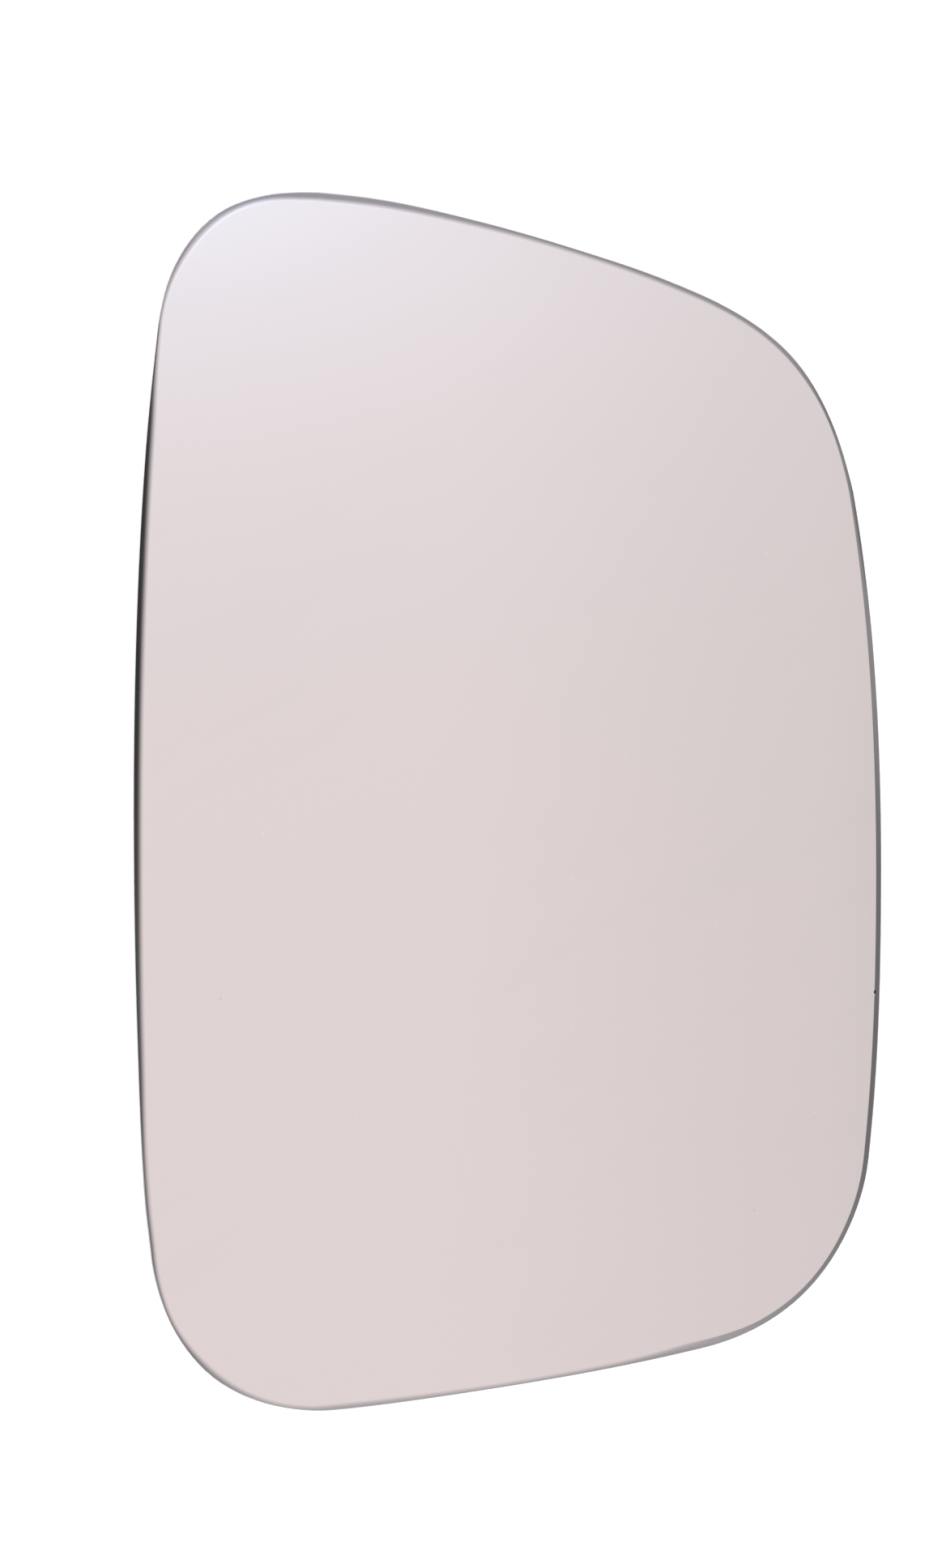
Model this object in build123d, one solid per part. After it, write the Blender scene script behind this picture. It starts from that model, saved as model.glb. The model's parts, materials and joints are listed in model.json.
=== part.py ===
from build123d import *
import math
import os

# Glass of a car's door mirror: one convex pane with a ground rim.
# It lies face up on its rim. Millimetres, +X to the right and +Y upwards as seen
# from the front, +Z out of the mirror face, origin under the middle of the outline.

# Where the four bowed sides would meet if their corners weren't rounded
left_side = 193.6  # upper left point above the lower left point
left_lean = 1.5  # upper left point inwards of the lower left point
bottom_span = 107.6  # lower left point across to the lower right point
bottom_rise = 16.0  # lower right point above the lower left point
top_fall = 27.2  # upper right point below the upper left point
right_lean = 3.3  # upper right point inwards of the lower right point

# How far each side bows outwards at its middle
left_bow = 5.8
top_bow = 6.1
right_bow = 6.4
bottom_bow = 2.9

# Radius of each corner
upper_left_radius = 22.5
upper_right_radius = 39.0
lower_right_radius = 33.5
lower_left_radius = 26.0

# The glass itself
glass_thickness = 2.0
mirror_radius = 1400.0  # of the convex front, the back shares its centre
front_round = 0.85  # the rim is ground round at the front
back_seam = 0.4  # and its back edge is taken off with a narrow bevel
crown_left = 11.8  # crown of the dome, left of the outline's middle
crown_up = 0.4  # and above it: there the three lowest corners touch the bench together


def pane_outline():
    lower_left = Vector(0, 0)
    lower_right = Vector(bottom_span, bottom_rise)
    upper_right = Vector(bottom_span - right_lean, left_side - top_fall)
    upper_left = Vector(left_lean, left_side)
    sides = [
        SagittaArc(lower_left, lower_right, -bottom_bow),
        SagittaArc(lower_right, upper_right, -right_bow),
        SagittaArc(upper_right, upper_left, -top_bow),
        SagittaArc(upper_left, lower_left, -left_bow),
    ]
    corner_radii = [
        (lower_left, lower_left_radius),
        (lower_right, lower_right_radius),
        (upper_right, upper_right_radius),
        (upper_left, upper_left_radius),
    ]
    outline = Face(Wire(sides))
    for corner, radius in corner_radii:
        sharp_point = outline.vertices().sort_by_distance(corner)[0]
        outline = outline.fillet_2d(radius, [sharp_point])
    return outline.moved(Location(-outline.bounding_box().center()))


def ball(radius):
    # The poles and the seam are turned away from the pane
    centre = Pos(-crown_left, crown_up, -mirror_radius)
    return centre * Rot(0, 90, 0) * Sphere(radius)


def mirror_glass():
    outline = pane_outline()
    reach = outline.bounding_box().diagonal
    deepest_sag = mirror_radius - math.sqrt(mirror_radius**2 - reach**2)
    blank = Pos(0, 0, -deepest_sag - glass_thickness) * extrude(
        outline, deepest_sag + 2 * glass_thickness, dir=(0, 0, 1)
    )
    pane = blank & ball(mirror_radius)
    pane -= ball(mirror_radius - glass_thickness)
    front = pane.faces().filter_by(GeomType.SPHERE).sort_by(Axis.Z)[-1]
    pane = fillet(front.edges(), front_round)
    back = pane.faces().filter_by(GeomType.SPHERE).sort_by(Axis.Z)[0]
    pane = chamfer(back.edges(), back_seam)
    return Pos(0, 0, -pane.bounding_box().min.Z) * pane


os.makedirs("parts", exist_ok=True)
export_step(mirror_glass(), "parts/mirror_glass.step")
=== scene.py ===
import json
import math

import bmesh
import bpy
from mathutils import Matrix, Vector, kdtree
from mathutils.geometry import intersect_sphere_sphere_2d

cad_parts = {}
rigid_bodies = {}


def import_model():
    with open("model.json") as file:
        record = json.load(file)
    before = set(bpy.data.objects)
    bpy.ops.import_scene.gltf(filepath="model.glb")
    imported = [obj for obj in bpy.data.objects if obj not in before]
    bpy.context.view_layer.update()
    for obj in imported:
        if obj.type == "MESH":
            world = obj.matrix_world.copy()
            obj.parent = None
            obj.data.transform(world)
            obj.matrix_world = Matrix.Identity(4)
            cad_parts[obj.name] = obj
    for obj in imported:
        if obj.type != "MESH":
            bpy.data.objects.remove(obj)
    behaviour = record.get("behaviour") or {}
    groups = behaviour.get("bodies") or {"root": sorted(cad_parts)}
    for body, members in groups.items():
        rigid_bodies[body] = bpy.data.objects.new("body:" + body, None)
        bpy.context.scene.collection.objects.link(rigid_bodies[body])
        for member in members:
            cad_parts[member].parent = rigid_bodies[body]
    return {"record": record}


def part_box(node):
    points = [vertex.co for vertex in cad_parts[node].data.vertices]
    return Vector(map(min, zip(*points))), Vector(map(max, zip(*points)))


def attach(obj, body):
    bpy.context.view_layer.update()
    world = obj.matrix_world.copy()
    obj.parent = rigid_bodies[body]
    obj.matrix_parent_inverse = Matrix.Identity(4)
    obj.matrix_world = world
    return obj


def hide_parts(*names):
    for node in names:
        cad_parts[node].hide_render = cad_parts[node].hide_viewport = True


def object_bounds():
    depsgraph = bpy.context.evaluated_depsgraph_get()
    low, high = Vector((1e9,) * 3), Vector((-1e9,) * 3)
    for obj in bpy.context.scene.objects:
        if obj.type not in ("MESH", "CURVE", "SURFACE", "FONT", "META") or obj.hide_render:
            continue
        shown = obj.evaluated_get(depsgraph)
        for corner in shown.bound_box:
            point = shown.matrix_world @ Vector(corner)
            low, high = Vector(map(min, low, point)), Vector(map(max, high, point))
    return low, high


for leftOver in list(bpy.data.objects):
    bpy.data.objects.remove(leftOver)
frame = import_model()
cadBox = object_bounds()
bpy.ops.object.select_all(action="DESELECT")
print("frame loaded, box", [round(v, 5) for corner in cadBox for v in corner])


class Wire:
    # one socket of a node tree, so that shader maths reads as plain expressions

    def __init__(self, tree, socket=None):
        self.tree = tree
        self.socket = socket

    def add(self, kind, settings=None, sockets=None, out=0):
        # any node: its settings come first, then its sockets' values and links
        node = self.tree.nodes.new(kind)
        for name, value in (settings or {}).items():
            if name == "stops":
                self.setStops(node.color_ramp, value)
            else:
                setattr(node, name, value)
        for name, value in (sockets or {}).items():
            if isinstance(value, Wire):
                self.tree.links.new(value.socket, node.inputs[name])
            else:
                node.inputs[name].default_value = value
        return Wire(self.tree, node.outputs[out] if len(node.outputs) else None)

    def setStops(self, ramp, stops):
        while len(ramp.elements) < len(stops):
            ramp.elements.new(1.0)
        for element, (place, colour) in zip(ramp.elements, stops):
            element.position = place
            element.color = opaque(colour)

    def other(self, out):
        return Wire(self.tree, self.socket.node.outputs[out])

    def math(self, operation, *values):
        return self.add("ShaderNodeMath", {"operation": operation}, dict(enumerate(values)))

    def mix(self, factor, first, second, blend="MIX"):
        settings = {"data_type": "RGBA", "blend_type": blend}
        return self.add("ShaderNodeMix", settings, {0: factor, 6: first, 7: second}, 2)

    def fade(self, low, high, start=0.0, end=1.0):
        settings = {"interpolation_type": "SMOOTHSTEP"}
        sockets = {"Value": self, "From Min": low, "From Max": high, "To Min": start, "To Max": end}
        return self.add("ShaderNodeMapRange", settings, sockets)

    def __add__(self, other):
        return self.math("ADD", self, other)

    def __radd__(self, other):
        return self.math("ADD", other, self)

    def __sub__(self, other):
        return self.math("SUBTRACT", self, other)

    def __rsub__(self, other):
        return self.math("SUBTRACT", other, self)

    def __mul__(self, other):
        return self.math("MULTIPLY", self, other)

    def __rmul__(self, other):
        return self.math("MULTIPLY", other, self)

    def __truediv__(self, other):
        return self.math("DIVIDE", self, other)

    def __rtruediv__(self, other):
        return self.math("DIVIDE", other, self)

    def __pow__(self, other):
        return self.math("POWER", self, other)

    def __rpow__(self, other):
        return self.math("POWER", other, self)


def opaque(colour):
    return (*colour, 1.0)


def newFinish(name):
    finish = bpy.data.materials.new(name)
    finish.use_nodes = True
    finish.node_tree.nodes.clear()
    return finish, Wire(finish.node_tree)


# Mirror pane: the outline is spun arc by arc, both faces and the rim are inset from it,
# the rim is ground uneven and chipped, and the flat pane is domed at the end

pane = {
    "leftSide": 0.1936,  # the sides would meet here without rounding, as the CAD source has it
    "leftLean": 0.0015,
    "bottomSpan": 0.1076,
    "bottomRise": 0.0160,
    "topFall": 0.0272,
    "rightLean": 0.0033,
    "bows": (0.0029, 0.0064, 0.0061, 0.0058),  # bottom, right, top, left
    "cornerRadii": (0.0260, 0.0335, 0.0390, 0.0225),  # lower left, then anticlockwise
    "thickness": 0.0020,
    "mirrorRadius": 1.400,
    "backSeam": 0.0004,
    "pointSpacing": 0.0015,  # along the rim
    "mergeWithin": 1e-5,
    "levelWithin": 1e-6,
    "rimRound": 0.0025,  # the rim is ground to this radius, and stops short of upright
    "rimLip": 0.00012,  # there its sharp end is broken
    "rimBase": 0.001,  # its width before it is made uneven
    "rimDrop": 0.00035,
    "rimSteps": (0.01, 0.03, 0.05, 0.07, 0.09, 0.09, 0.09, 0.09, 0.09, 0.09, 0.09, 0.09, 0.07, 0.05),
    "faceRings": (0.00015, 0.0004, 0.001, 0.002, 0.003, 0.003, 0.003),  # inside the rim
    "gridSpan": 66,  # faces across the middle
    "gridCorner": (-0.05, 0.09),
    # The pane was cut and ground by hand. Places count the arcs of the outline from the lower left
    # corner anticlockwise: 0 to 1 that corner, 1 to 2 the bottom and so on
    "arcCount": 8,  # four corners and four sides
    "cutErrors": {  # millimetres outwards of the true arcs
        0.0: -0.1, 0.14: -0.28, 0.33: -0.1, 0.52: 0.2, 0.85: -0.05, 1.06: 0.14, 1.4: 0.01, 1.9: 0.12,
        2.05: 0.06, 2.43: 0.3, 2.75: 0.12, 3.08: 0.31, 3.4: 0.06, 3.78: 0.37, 3.92: 0.25, 4.1: -0.17,
        4.28: -0.08, 4.58: 0.45, 4.9: 0.15, 5.12: 0.28, 5.35: 0.1, 5.6: 0.2, 5.85: 0.4, 6.08: -0.1,
        6.22: 0.05, 6.46: 0.56, 6.75: 0.02, 6.95: -0.25, 7.14: 0.19, 7.57: -0.06, 7.76: 0.01, 7.93: 0.24,
    },
    "rimWidths": {  # millimetres
        0.25: 1.04, 0.48: 1.4, 0.75: 1.0, 0.9: 1.0, 1.03: 1.25, 1.45: 0.95, 1.77: 1.05, 1.95: 1.4,
        2.11: 1.2, 2.25: 0.88, 2.6: 0.7, 3.2: 0.8, 3.75: 0.74, 4.3: 0.47, 4.56: 0.74, 5.05: 1.13,
        5.4: 1.08, 6.0: 1.6, 6.25: 1.23, 6.55: 1.27, 6.75: 1.05, 6.92: 0.75, 7.02: 0.82, 7.13: 1.48,
        7.52: 1.58, 7.78: 1.32, 7.88: 1.1, 7.94: 1.15,
    },
    "rimFlats": {1.85: 0.0, 2.1: 1.0, 3.9: 1.0, 4.3: 0.7, 4.9: 0.0},  # 1 where a flat chamfer was ground
    "flatTilt": 17,  # its slope in degrees
    "rimBlend": 0.008,  # the face takes up the unevenness over this width
    "coatWear": {  # painted shade: how much darker the lip is made at each place round the outline
        0.0: 0.2, 0.26: 0.2, 0.43: 0.42, 0.6: 0.05, 1.4: 0.0, 1.95: 0.14, 2.2: 0.0, 3.8: 0.0, 3.94: 0.7,
        4.12: 0.3, 4.3: 0.52, 4.6: 0.05, 5.2: 0.2, 5.7: 0.0, 6.5: 0.12, 6.71: 0.36, 6.9: 0.05, 7.06: 0.1,
        7.14: 0.6, 7.4: 0.0, 7.8: 0.16,
    },
    "coatAbove": 0.05,  # the coat covers faces whose normal has a higher z than this
    "lacquerBelow": -0.9,  # and the lacquer those with a lower z than this
    "smoothAngle": 30,
}


def bowCircle(start, end, bow):
    half = (end - start) / 2
    radius = (half.length_squared + bow**2) / (2 * bow)
    inward = Vector((-half.y, half.x)).normalized()
    return start + half + inward * (radius - bow), radius


def outlineArcs():
    # each corner and then the side after it, as centre, start and end
    corners = [
        Vector((0, 0)),
        Vector((pane["bottomSpan"], pane["bottomRise"])),
        Vector((pane["bottomSpan"] - pane["rightLean"], pane["leftSide"] - pane["topFall"])),
        Vector((pane["leftLean"], pane["leftSide"])),
    ]
    ends = corners[1:] + corners[:1]
    sides = [bowCircle(*side) for side in zip(corners, ends, pane["bows"])]
    rounded = []
    for index, (corner, radius) in enumerate(zip(corners, pane["cornerRadii"])):
        (oldCentre, oldRadius), (newCentre, newRadius) = sides[index - 1], sides[index]
        spots = intersect_sphere_sphere_2d(oldCentre, oldRadius - radius, newCentre, newRadius - radius)
        centre = min(spots, key=lambda spot: (spot - corner).length)
        enter = oldCentre + (centre - oldCentre).normalized() * oldRadius
        leave = newCentre + (centre - newCentre).normalized() * newRadius
        rounded.append((centre, enter, leave))
    arcs = []
    for (sideCentre, _), corner, following in zip(sides, rounded, rounded[1:] + rounded[:1]):
        arcs.append(corner)
        arcs.append((sideCentre, corner[2], following[1]))
    return arcs


def arcAngle(centre, start, end):
    first, last = start - centre, end - centre
    return math.atan2(first.cross(last), first.dot(last))


def spinOutline():
    arcs = outlineArcs()
    angles = [arcAngle(*arc) for arc in arcs]
    steps = [
        round(angle * (start - centre).length / pane["pointSpacing"])
        for angle, (centre, start, end) in zip(angles, arcs)
    ]
    steps[-1] += sum(steps) % 2  # the grid inside needs an even count
    # a plane is merged to the one point that is spun
    bpy.ops.mesh.primitive_plane_add()
    glass = bpy.context.object
    glass.name = glass.data.name = "mirrorPane"
    bpy.ops.object.mode_set(mode="EDIT")
    bpy.ops.mesh.merge(type="CENTER")
    bpy.ops.transform.translate(value=(*arcs[0][1], 0.0))
    for (centre, start, end), angle, count in zip(arcs, angles, steps):
        bpy.ops.mesh.spin(steps=count, angle=-angle, center=(*centre, 0.0), axis=(0, 0, 1))
    bpy.ops.mesh.select_all(action="SELECT")
    bpy.ops.mesh.remove_doubles(threshold=pane["mergeWithin"])
    bpy.ops.mesh.edge_face_add()
    bpy.ops.object.mode_set(mode="OBJECT")
    # the outline's middle goes where the CAD node has it
    low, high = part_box("mirror_glass")
    places = [v.co for v in glass.data.vertices]
    middle = [(min(p[i] for p in places) + max(p[i] for p in places)) / 2 for i in (0, 1)]
    shift = Vector(((low.x + high.x) / 2 - middle[0], (low.y + high.y) / 2 - middle[1]))
    glass.data.transform(Matrix.Translation((*shift, pane["backSeam"] - pane["thickness"])))
    # every point of the outline with the way outwards and its place
    rim = []
    for index, ((centre, start, end), angle, count) in enumerate(zip(arcs, angles, steps)):
        for step in range(count):
            out = (start - centre) @ Matrix.Rotation(-angle * step / count, 2)
            rim.append((centre + out + shift, out.normalized(), index + step / count))
    print("outline spun,", len(glass.data.vertices), "points")
    return glass, rim


def stepIn(thickness, depth=0.0):
    bpy.ops.mesh.inset(thickness=thickness, depth=depth, use_even_offset=True)


def fillMiddle(mesh):
    # a grid takes the place of the last face
    corner = Vector(pane["gridCorner"])
    bpy.ops.mesh.region_to_loop()
    edit = bmesh.from_edit_mesh(mesh)
    loop = [v for v in edit.verts if v.select]
    edit.select_history.clear()
    edit.select_history.add(min(loop, key=lambda v: (v.co.xy - corner).length))
    bpy.ops.mesh.fill_grid(span=pane["gridSpan"], offset=0)
    bpy.ops.mesh.select_face_by_sides(number=4, type="GREATER", extend=False)
    bpy.ops.mesh.delete(type="ONLY_FACE")


def insetFaces(glass):
    bpy.ops.object.mode_set(mode="EDIT")
    bpy.ops.mesh.select_mode(type="FACE")
    bpy.ops.mesh.select_all(action="SELECT")
    if glass.data.polygons[0].normal.z > 0:
        bpy.ops.mesh.flip_normals()
    stepIn(pane["backSeam"], pane["backSeam"])
    for ring in pane["faceRings"]:
        stepIn(ring)
    fillMiddle(glass.data)
    # the front starts from the outline again
    bpy.ops.mesh.select_mode(type="EDGE")
    bpy.ops.mesh.select_all(action="DESELECT")
    bpy.ops.mesh.select_non_manifold()
    bpy.ops.mesh.edge_face_add()
    bpy.ops.mesh.select_mode(type="FACE")
    stepIn(0.0, pane["thickness"] - pane["backSeam"] - pane["rimDrop"])
    for step in pane["rimSteps"]:
        stepIn(pane["rimBase"] * step, pane["rimDrop"] * step)
    for ring in pane["faceRings"]:
        stepIn(ring)
    fillMiddle(glass.data)
    bpy.ops.object.mode_set(mode="OBJECT")
    bpy.ops.object.shade_smooth()
    print("faces and rim inset,", len(glass.data.polygons), "faces")


def stopValue(name, place):
    # a smooth curve through the stops, closed round the outline
    stops = sorted(pane[name].items())
    before = [(spot - pane["arcCount"], value) for spot, value in stops[-2:]]
    after = [(spot + pane["arcCount"], value) for spot, value in stops[:2]]
    stops = before + stops + after
    index = max(i for i in range(1, len(stops) - 2) if stops[i][0] <= place)
    spots, values = zip(*stops[index - 1:index + 3])
    span = spots[2] - spots[1]
    first = (values[2] - values[0]) / (spots[2] - spots[0]) * span
    last = (values[3] - values[1]) / (spots[3] - spots[1]) * span
    t = (place - spots[1]) / span
    ease = t * t * (3 - 2 * t)
    return values[1] + (values[2] - values[1]) * ease + t * (1 - t) * (first * (1 - t) - last * t)


def rimDepth(inset, width, flat):
    # how far the ground rim lies below the face, with the broken lip at its end
    reach = max(0.0, width - inset)
    hollow = pane["rimRound"] - math.sqrt(pane["rimRound"] ** 2 - reach**2)
    chamfer = reach * math.tan(math.radians(pane["flatTilt"]))
    steep = max(0.0, 1 - inset / pane["rimLip"])
    lip = pane["rimLip"] * (1 - math.sqrt(1 - steep**2))
    return hollow + (chamfer - hollow) * flat + lip


def shapeRim(glass, rim):
    tree = kdtree.KDTree(len(rim))
    for index, (point, *_) in enumerate(rim):
        tree.insert((*point, 0.0), index)
    tree.balance()
    base, blend = pane["rimBase"], pane["rimBlend"]
    lowestFront = -pane["rimDrop"] - pane["levelWithin"]
    insets, shares, lipShades = [], [], []
    for vertex in glass.data.vertices:
        _, index, inset = tree.find((*vertex.co.xy, 0.0))
        _, out, place = rim[index]
        move = stopValue("cutErrors", place) / 1000 * max(0.0, 1 - inset / blend)
        share = 0.0
        if vertex.co.z > lowestFront:
            width = stopValue("rimWidths", place) / 1000
            if inset < base:
                step = inset * (width / base - 1)
            else:
                step = (width - base) * max(0.0, 1 - (inset - base) / (blend - base))
            move -= step
            inset += step
            flat = min(1.0, max(0.0, stopValue("rimFlats", place)))
            vertex.co.z = -rimDepth(inset, width, flat)
            share = max(0.0, 1 - inset / width)
        vertex.co.xy += out * move
        insets.append(inset * 1000)
        shares.append(share)
        # the painted shade on the lip at this place
        lipShades.append(max(0.0, stopValue("coatWear", place)))
    # for the finishes: millimetres in from the outline, 0 on the face to 1 at the outline, and the
    # painted shade on the lip
    for name, values in (("rimInset", insets), ("rimShare", shares), ("coatWear", lipShades)):
        glass.data.attributes.new(name, "FLOAT", "POINT").data.foreach_set("value", values)
    print("rim ground, outline moved by up to", max(abs(v) for v in pane["cutErrors"].values()), "mm")


nick = {
    "place": (0.05782, -0.03001),  # on the inner line of the right-hand chamfer
    "radius": 0.00021,
    "subdivisions": 3,
    "stretch": (0.9, 1.5, 0.8),
    "unevenness": 0.00004,
    "evenShare": 0.5,
    "seed": 5,
}


def chipRim(glass):
    bpy.ops.mesh.primitive_ico_sphere_add(
        subdivisions=nick["subdivisions"], radius=nick["radius"], location=(*nick["place"], 0)
    )
    chip = bpy.context.object
    bpy.ops.object.mode_set(mode="EDIT")
    bpy.ops.transform.resize(value=nick["stretch"])
    bpy.ops.transform.vertex_random(
        offset=nick["unevenness"], uniform=nick["evenShare"], seed=nick["seed"]
    )
    bpy.ops.object.mode_set(mode="OBJECT")
    bpy.ops.object.select_all(action="DESELECT")
    glass.select_set(True)
    bpy.context.view_layer.objects.active = glass
    cut = glass.modifiers.new("nick", "BOOLEAN")
    cut.object = chip
    cut.solver = "EXACT"
    bpy.ops.object.modifier_apply(modifier="nick")
    bpy.data.objects.remove(chip)
    print("rim chipped,", len(glass.data.polygons), "faces")


def markFinishes(glass):
    coat, ground, lacquer = range(3)  # in the order that the finishes are added
    for face in glass.data.polygons:
        if not face.use_smooth:
            face.material_index = ground  # the nick shows bare glass
        elif face.normal.z > pane["coatAbove"]:
            face.material_index = coat  # over the ground rim too
        elif face.normal.z > pane["lacquerBelow"]:
            face.material_index = ground  # bare edge and bevel
        else:
            face.material_index = lacquer


def domePane(glass):
    crown = Vector(frame["record"]["mounts"][0]["pos_m"]).xy
    centreHeight = cadBox[1].z - pane["mirrorRadius"]
    for vertex in glass.data.vertices:
        reach = (vertex.co.xy - crown).length_squared
        shell = pane["mirrorRadius"] + vertex.co.z  # front and back share a centre
        vertex.co.z = centreHeight + math.sqrt(shell**2 - reach)
    bpy.ops.object.shade_smooth_by_angle(angle=math.radians(pane["smoothAngle"]))
    print("pane domed, lowest point", round(min(v.co.z for v in glass.data.vertices), 6))


glass, rim = spinOutline()
insetFaces(glass)
shapeRim(glass, rim)
chipRim(glass)
markFinishes(glass)
domePane(glass)


# Finishes of the pane. A noise is given by its scale, detail and roughness. It gathers round 0.5,
# and the two ranges stretch it to 0 to 1

stretch = (0.3, 0.7)
stretchMore = (0.35, 0.65)
streakNoise = (1.0, 3.0, 0.6)


def paneWires(wire):
    place = wire.add("ShaderNodeTexCoord", out="Object")
    x = wire.add("ShaderNodeSeparateXYZ", {}, {"Vector": place})
    return place, x, x.other("Y"), x.other("Z")


def paneValue(wire, name):
    return wire.add("ShaderNodeAttribute", {"attribute_name": name}, out="Fac")


def noise(wire, place, scale, detail, roughness=0.5):
    sockets = {"Vector": place, "Scale": scale, "Detail": detail, "Roughness": roughness}
    return wire.add("ShaderNodeTexNoise", {}, sockets)


def cells(wire, place, scale):
    # how far the nearest cell's middle is, and a number that differs from cell to cell
    near = wire.add("ShaderNodeTexVoronoi", {}, {"Vector": place, "Scale": scale}, "Distance")
    return near, wire.add("ShaderNodeSeparateColor", {}, {"Color": near.other("Color")})


def streaksAlong(wire, across, along, beside, look):
    # fine one way and long the other two
    way = wire.add("ShaderNodeCombineXYZ", {}, {
        "X": across * look["fine"], "Y": along * look["long"], "Z": beside * look["long"],
    })
    return noise(wire, way, *streakNoise)


def offSpot(x, y, spot):
    offX, offY = x - spot[0], y - spot[1]
    return (offX * offX + offY * offY) ** 0.5


def cover(wire, sockets, height, bump):
    normal = wire.add("ShaderNodeBump", {}, {
        "Height": height, "Distance": bump, "Strength": 1.0,
    }, "Normal")
    shader = wire.add("ShaderNodeBsdfPrincipled", {}, {**sockets, "Normal": normal})
    wire.add("ShaderNodeOutputMaterial", {}, {"Surface": shader})


mirrorLook = {
    "silver": (0.86, 0.84, 0.84),
    "polish": 0.008,  # roughness of the clean face
    "film": (0.845, 0.827, 0.828),  # where a cloth has left a film, in patches of long wipes
    "filmTurn": 0.55,
    "filmSize": (0.060, 0.007, 0.060),
    "wipes": (1.0, 5.0, 0.62),
    "wipeFade": (0.42, 0.75),
    "patches": (24.0, 2.0),
    "patchFade": (0.38, 0.68),
    "filmRoughness": 0.02,
    "dust": (0.50, 0.48, 0.47),
    "dustScale": 620.0,
    "dustSize": (0.02, 0.05),
    "dustPick": (0.955, 0.965),  # few of the cells hold a grain
    "dustRoughness": 0.4,
    "dustCover": 0.9,
    "specks": {(-0.0454, -0.0300): 0.00035, (0.0388, -0.0644): 0.00028},  # place and radius
    "speckTone": (0.70, 0.66, 0.66),
    "speckHeart": 0.3,
    "speckCover": 0.5,
    "rimStart": (0.0, 0.12),
    "rimRoughness": (0.05, 0.13),
    "rimStreaks": {"fine": 20.0, "long": 130.0},
    "shellScale": 2300.0,  # small shells broken out along the lip
    "shellSize": (0.15, 0.4),
    "shellPick": (0.8, 0.85),
    "shellZone": (0.72, 0.95),
    "shellTone": (0.42, 0.41, 0.41),
    "shellCover": 0.6,
    "shellRoughness": 0.2,
    "shellDepth": 2,  # in heights of the streaks
    # painted shade: the lip's darker tone, and how far in from the outline it reaches
    "lipShadeTone": (0.30, 0.292, 0.295),
    "lipShadeReach": (0.2, 0.6),  # millimetres in from the outline
    "bump": 0.000003,
}


def mirrorFinish():
    finish, wire = newFinish("mirrorCoat")
    look = mirrorLook
    place, x, y, _ = paneWires(wire)
    inset = paneValue(wire, "rimInset")
    rim = paneValue(wire, "rimShare")
    onRim = rim.fade(*look["rimStart"])
    # wiped film, dust and specks on the face
    wiped = wire.add("ShaderNodeMapping", {"vector_type": "TEXTURE"}, {
        "Vector": place, "Rotation": (0, 0, look["filmTurn"]), "Scale": look["filmSize"],
    })
    wipes = noise(wire, wiped, *look["wipes"])
    patches = noise(wire, place, *look["patches"])
    film = wipes.fade(*look["wipeFade"]) * patches.fade(*look["patchFade"])
    grains, sort = cells(wire, place, look["dustScale"])
    dust = grains.fade(*look["dustSize"], 1, 0) * sort.fade(*look["dustPick"])
    silver = wire.mix(film, opaque(look["silver"]), opaque(look["film"]))
    silver = wire.mix(dust, silver, opaque(look["dust"]))
    for spot, size in look["specks"].items():
        speck = offSpot(x, y, spot).fade(size * look["speckHeart"], size, look["speckCover"], 0)
        silver = wire.mix(speck, silver, opaque(look["speckTone"]))
    # grinding streaks and broken shells on the rim, and painted shade on its lip
    streaks = streaksAlong(wire, inset, x, y, look["rimStreaks"])
    hollows, pick = cells(wire, place, look["shellScale"])
    shells = hollows.fade(*look["shellSize"], 1, 0) * pick.fade(*look["shellPick"])
    shells = shells * rim.fade(*look["shellZone"])
    silver = wire.mix(shells * look["shellCover"], silver, opaque(look["shellTone"]))
    # painted shade: the lip is darkened at the listed places
    wearAndShade = paneValue(wire, "coatWear") * inset.fade(*look["lipShadeReach"], 1, 0)
    silver = wire.mix(wearAndShade, silver, opaque(look["lipShadeTone"]))
    rimRoughness = streaks.fade(*stretch, *look["rimRoughness"]) + shells * look["shellRoughness"]
    faceRoughness = film * look["filmRoughness"] + dust * look["dustRoughness"] + look["polish"]
    cover(wire, {
        "Base Color": silver,
        "Metallic": 1 - dust * look["dustCover"],
        "Roughness": faceRoughness * (1 - onRim) + rimRoughness * onRim,
    }, (streaks - shells * look["shellDepth"]) * onRim, look["bump"])
    return finish


groundLook = {
    "glass": (0.045, 0.053, 0.050),
    "frost": (0.120, 0.137, 0.130),
    "nickShade": (0.012, 0.012, 0.012),  # clear glass in the nick, with painted shade that makes it near black
    "nickShadeReach": (2, 3),  # in radii of the nick
    "grain": (8000.0, 3.0),
    "lines": {"fine": 14000.0, "long": 170.0},
    "patches": (160.0, 2.0),
    "frostShares": (0.45, 0.35, 0.2),  # of grain, lines and patches
    "grainHeight": 0.6,
    "roughness": (0.34, 0.58),
    "refraction": 1.52,
    "bump": 0.000006,
}


def groundFinish():
    finish, wire = newFinish("groundEdge")
    look = groundLook
    place, x, y, z = paneWires(wire)
    grain = noise(wire, place, *look["grain"])
    lines = streaksAlong(wire, z, x, y, look["lines"])
    patches = noise(wire, place, *look["patches"])
    fromGrain, fromLines, fromPatches = look["frostShares"]
    frost = (
        grain.fade(*stretch) * fromGrain + lines.fade(*stretch) * fromLines
        + patches.fade(*stretchMore) * fromPatches
    )
    ground = wire.mix(frost, opaque(look["glass"]), opaque(look["frost"]))
    # painted shade in the nick, fading out round it
    near, far = [nick["radius"] * reach for reach in look["nickShadeReach"]]
    nickShaded = offSpot(x, y, nick["place"]).fade(near, far, 1, 0)
    low, high = look["roughness"]
    cover(wire, {
        "Base Color": wire.mix(nickShaded, ground, opaque(look["nickShade"])),
        "Roughness": frost * (high - low) + low,
        "IOR": look["refraction"],
    }, grain * look["grainHeight"] + lines, look["bump"])
    return finish


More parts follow.
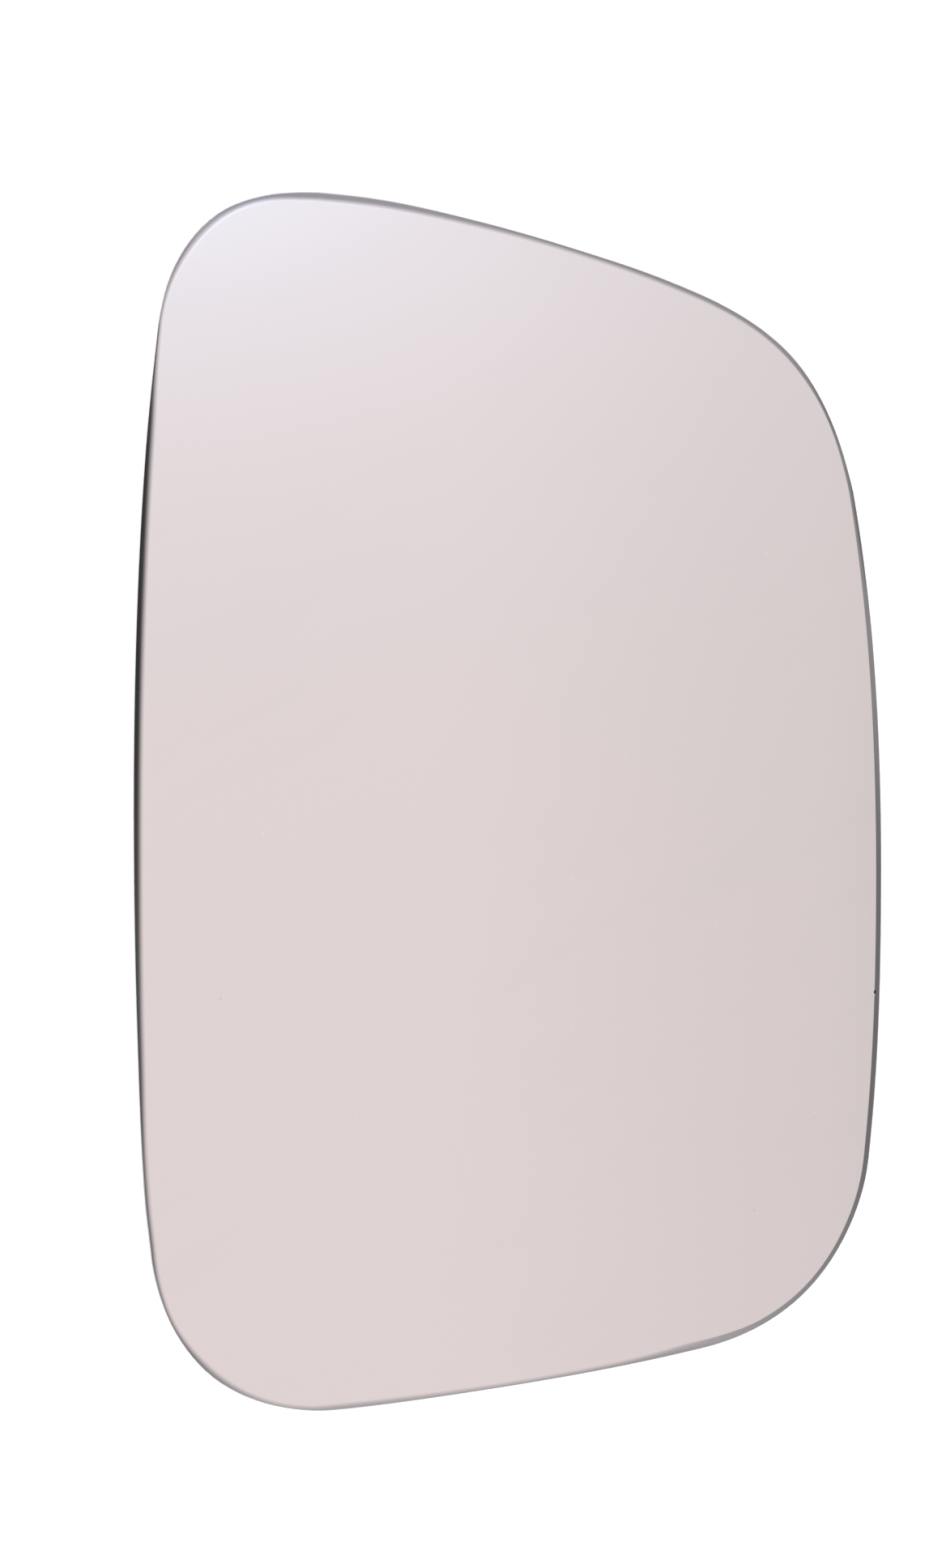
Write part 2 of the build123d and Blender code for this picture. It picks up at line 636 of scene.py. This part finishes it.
lacquerLook = {
    "grey": (0.085, 0.088, 0.092),
    "pale": (0.128, 0.130, 0.134),
    "bareGlass": (0.20, 0.225, 0.215),  # where the seaming wheel went through it
    "edge": (0.55, 0.85),  # millimetres in from the outline
    "ragged": (900.0, 3.0),
    "raggedReach": 0.9,
    "roller": {"fine": 420.0, "long": 9.0},  # it was rolled on along the pane
    "cloud": (32.0, 4.0, 0.55),
    "peel": (620.0, 1.5),
    "spray": (5200.0, 2.0),
    "toneShares": (0.3, 0.4, 0.3),  # of cloud, roller and spray
    "heights": (0.8, 0.12, 0.5),  # of roller and spray, and depth of the worn edge, beside the peel
    "roughness": (0.36, 0.54),
    "wornRoughness": 0.1,
    "bump": 0.000012,
}


def lacquerFinish():
    finish, wire = newFinish("backLacquer")
    look = lacquerLook
    place, x, y, z = paneWires(wire)
    cloud = noise(wire, place, *look["cloud"])
    peel = noise(wire, place, *look["peel"])
    spray = noise(wire, place, *look["spray"])
    rolled = streaksAlong(wire, x, y, z, look["roller"])
    ragged = (noise(wire, place, *look["ragged"]) - 0.5) * look["raggedReach"]
    wearAndShade = (paneValue(wire, "rimInset") + ragged).fade(*look["edge"], 1, 0)
    fromCloud, fromRoller, fromSpray = look["toneShares"]
    tone = (
        cloud.fade(*stretch) * fromCloud + rolled.fade(*stretch) * fromRoller
        + spray.fade(*stretchMore) * fromSpray
    )
    paint = wire.mix(tone, opaque(look["grey"]), opaque(look["pale"]))
    rollerHeight, sprayHeight, wornDepth = look["heights"]
    cover(wire, {
        "Base Color": wire.mix(wearAndShade, paint, opaque(look["bareGlass"])),
        "Roughness": spray.fade(*stretch, *look["roughness"]) + wearAndShade * look["wornRoughness"],
    }, peel + rolled * rollerHeight + spray * sprayHeight - wearAndShade * wornDepth, look["bump"])
    return finish


for makeFinish in (mirrorFinish, groundFinish, lacquerFinish):
    glass.data.materials.append(makeFinish())
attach(glass, "root")
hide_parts("mirror_glass")
print("finishes on the pane")


# Studio: a pale floor, a soft overhead scrim that the face reflects, plain walls round it,
# and low down, where only low views see them in the glass, a pale horizon and soft boxes

studio = {
    "floorSize": 16.0,
    "floorDrop": 3e-5,  # the hand-cut corners dip less than this below the CAD model
    "floorTone": (0.86, 0.86, 0.86),
    "floorRoughness": 0.9,
    "floorSheen": 0.1,
    "fillPower": 115.0,
    "fillSize": 3.0,
    "fillHeight": 2.0,
    "leastFlat": 1e-4,  # so that nothing is divided by zero at the zenith
    "scrim": (0.855, 0.771, 0.769),
    "scrimRight": (0.781, 0.708, 0.706),
    "scrimFade": (0.088, 0.263),
    "glow": (0.32, 0.50, 0.66),
    "glowPlace": (-0.05, 0.22),
    "glowReach": (0.142, 0.070),
    "edges": {  # where the scrim has faded out and where it is whole, degrees off the zenith
        "left": (-55, -4), "right": (26, 14), "top": (51, 10), "bottom": (-58, -16),
    },
    "walls": [  # from the left round by the bottom, the right and the top
        (0.00, (0.034, 0.033, 0.034)),
        (0.03, (0.110, 0.106, 0.108)),
        (0.10, (0.220, 0.213, 0.216)),
        (0.25, (0.470, 0.450, 0.455)),
        (0.32, (0.390, 0.380, 0.385)),
        (0.40, (0.250, 0.245, 0.250)),
        (0.46, (0.168, 0.165, 0.168)),
        (0.485, (0.165, 0.162, 0.167)),
        (0.50, (0.275, 0.268, 0.274)),
        (0.52, (0.305, 0.297, 0.302)),
        (0.60, (0.320, 0.313, 0.322)),
        (0.70, (0.350, 0.343, 0.370)),
        (0.77, (0.395, 0.380, 0.450)),
        (0.88, (0.400, 0.390, 0.435)),
        (0.95, (0.240, 0.235, 0.250)),
        (0.975, (0.080, 0.078, 0.083)),
        (1.00, (0.034, 0.033, 0.034)),
    ],
    "horizon": (0.72, 0.70, 0.71),
    "horizonFade": (80, 83),  # degrees off the zenith
    "flag": (14, 9),  # a dark flag hides it on the left, within these degrees
    "boxTone": (0.86, 0.84, 0.845),
    "boxEdge": 0.9,
    "boxes": [  # degrees round from the right, half the width, then head and foot off the zenith
        (-39, 6.5, 63, 77), (-11, 6.5, 63, 77), (15, 6.5, 63, 77), (41, 6.5, 63, 77), (62, 4.5, 69, 78),
        (102, 7.0, 75, 80), (128, 6.5, 68, 78), (150, 5.5, 69, 78),
        (207, 6.0, 69, 78), (233, 6.5, 75, 80), (258, 6.5, 70, 78),
    ],
}


def cosines(*degrees):
    return [math.cos(math.radians(angle)) for angle in degrees]


def studioFloor():
    place = (0, 0, cadBox[0].z - studio["floorDrop"])
    bpy.ops.mesh.primitive_plane_add(size=studio["floorSize"], location=place)
    floor = bpy.context.object
    floor.name = "studioFloor"
    finish, wire = newFinish("paleFloor")
    shader = wire.add("ShaderNodeBsdfPrincipled", {}, {
        "Base Color": opaque(studio["floorTone"]),
        "Roughness": studio["floorRoughness"],
        "Specular IOR Level": studio["floorSheen"],
    })
    wire.add("ShaderNodeOutputMaterial", {}, {"Surface": shader})
    floor.data.materials.append(finish)
    floor.visible_glossy = False  # the rim shows the walls instead


def studioSky():
    world = bpy.data.worlds.new("studioSky")
    bpy.context.scene.world = world
    world.use_nodes = True
    world.node_tree.nodes.clear()
    wire = Wire(world.node_tree)
    way = wire.add("ShaderNodeTexCoord", out="Generated")
    x = wire.add("ShaderNodeSeparateXYZ", {}, {"Vector": way})
    y, z = x.other("Y"), x.other("Z")
    flat = wire.math("MAXIMUM", (x * x + y * y) ** 0.5, studio["leastFlat"])
    offZenith = wire.math("ARCCOSINE", z) * math.degrees(1)
    across, upwards = x / flat * offZenith, y / flat * offZenith
    bearing = wire.math("ARCTAN2", y, x)
    # the scrim darkens to the right and glows at its upper left
    scrim = wire.mix(x.fade(*studio["scrimFade"]), opaque(studio["scrim"]), opaque(studio["scrimRight"]))
    (glowX, glowY), (reachX, reachY) = studio["glowPlace"], studio["glowReach"]
    offX = (x - glowX) / reachX
    offY = (wire.math("MINIMUM", y, glowY) - glowY) / reachY
    glow = wire.math("EXPONENT", 0 - (offX * offX + offY * offY) ** 0.5)
    scrim = wire.mix(glow, scrim, opaque(studio["glow"]), "ADD")
    edges = studio["edges"]
    scrimMask = (
        across.fade(*edges["left"]) * across.fade(*edges["right"])
        * upwards.fade(*edges["top"]) * upwards.fade(*edges["bottom"])
    )
    # walls, horizon and soft boxes
    turn = bearing / math.tau + 0.5
    walls = wire.add("ShaderNodeValToRGB", {"stops": studio["walls"]}, {"Fac": turn}, "Color")
    flag = (0 - x / flat).fade(*cosines(*studio["flag"]))
    horizon = offZenith.fade(*studio["horizonFade"]) * (1 - flag)
    walls = wire.mix(horizon, walls, opaque(studio["horizon"]))
    soft = studio["boxEdge"]
    for towards, half, head, foot in studio["boxes"]:
        sideways = wire.math("COSINE", bearing - math.radians(towards))
        box = sideways.fade(*cosines(half + soft, half - soft))
        box = box * offZenith.fade(head - soft, head + soft) * offZenith.fade(foot + soft, foot - soft)
        walls = wire.mix(box, walls, opaque(studio["boxTone"]))
    sky = wire.mix(scrimMask, walls, scrim)
    light = wire.add("ShaderNodeBackground", {}, {"Color": sky, "Strength": 1.0})
    wire.add("ShaderNodeOutputWorld", {}, {"Surface": light})


def studioFill():
    # lights the floor, and stays out of the mirror
    bpy.ops.object.light_add(type="AREA", location=(0, 0, studio["fillHeight"]))
    fill = bpy.context.object
    fill.name = "floorFill"
    fill.data.size = studio["fillSize"]
    fill.data.energy = studio["fillPower"]
    fill.visible_glossy = False
    fill.visible_camera = False


camera = {
    "target": (-0.00593, 0.00319, 0.00441),
    "fromLeft": 6.0,  # degrees off the pane's axis
    "fromTop": 3.0,
    "distance": 0.9,
    "lens": 132.6,
    "nearest": 0.01,
}


def studioCamera():
    lean = [math.tan(math.radians(camera[name])) for name in ("fromLeft", "fromTop")]
    back = Vector((-lean[0], lean[1], 1.0)).normalized()
    side = Vector((0, 1, 0)).cross(back).normalized()
    turned = Matrix((side, back.cross(side), back)).transposed()
    place = Vector(camera["target"]) + back * camera["distance"]
    bpy.ops.object.camera_add(location=place, rotation=turned.to_euler())
    eye = bpy.context.object
    eye.name = "frontView"
    eye.data.lens = camera["lens"]
    eye.data.clip_start = camera["nearest"]
    bpy.context.scene.camera = eye


studioFloor()
studioSky()
studioFill()
studioCamera()
bpy.context.scene.view_settings.view_transform = "Standard"
print("studio set up")
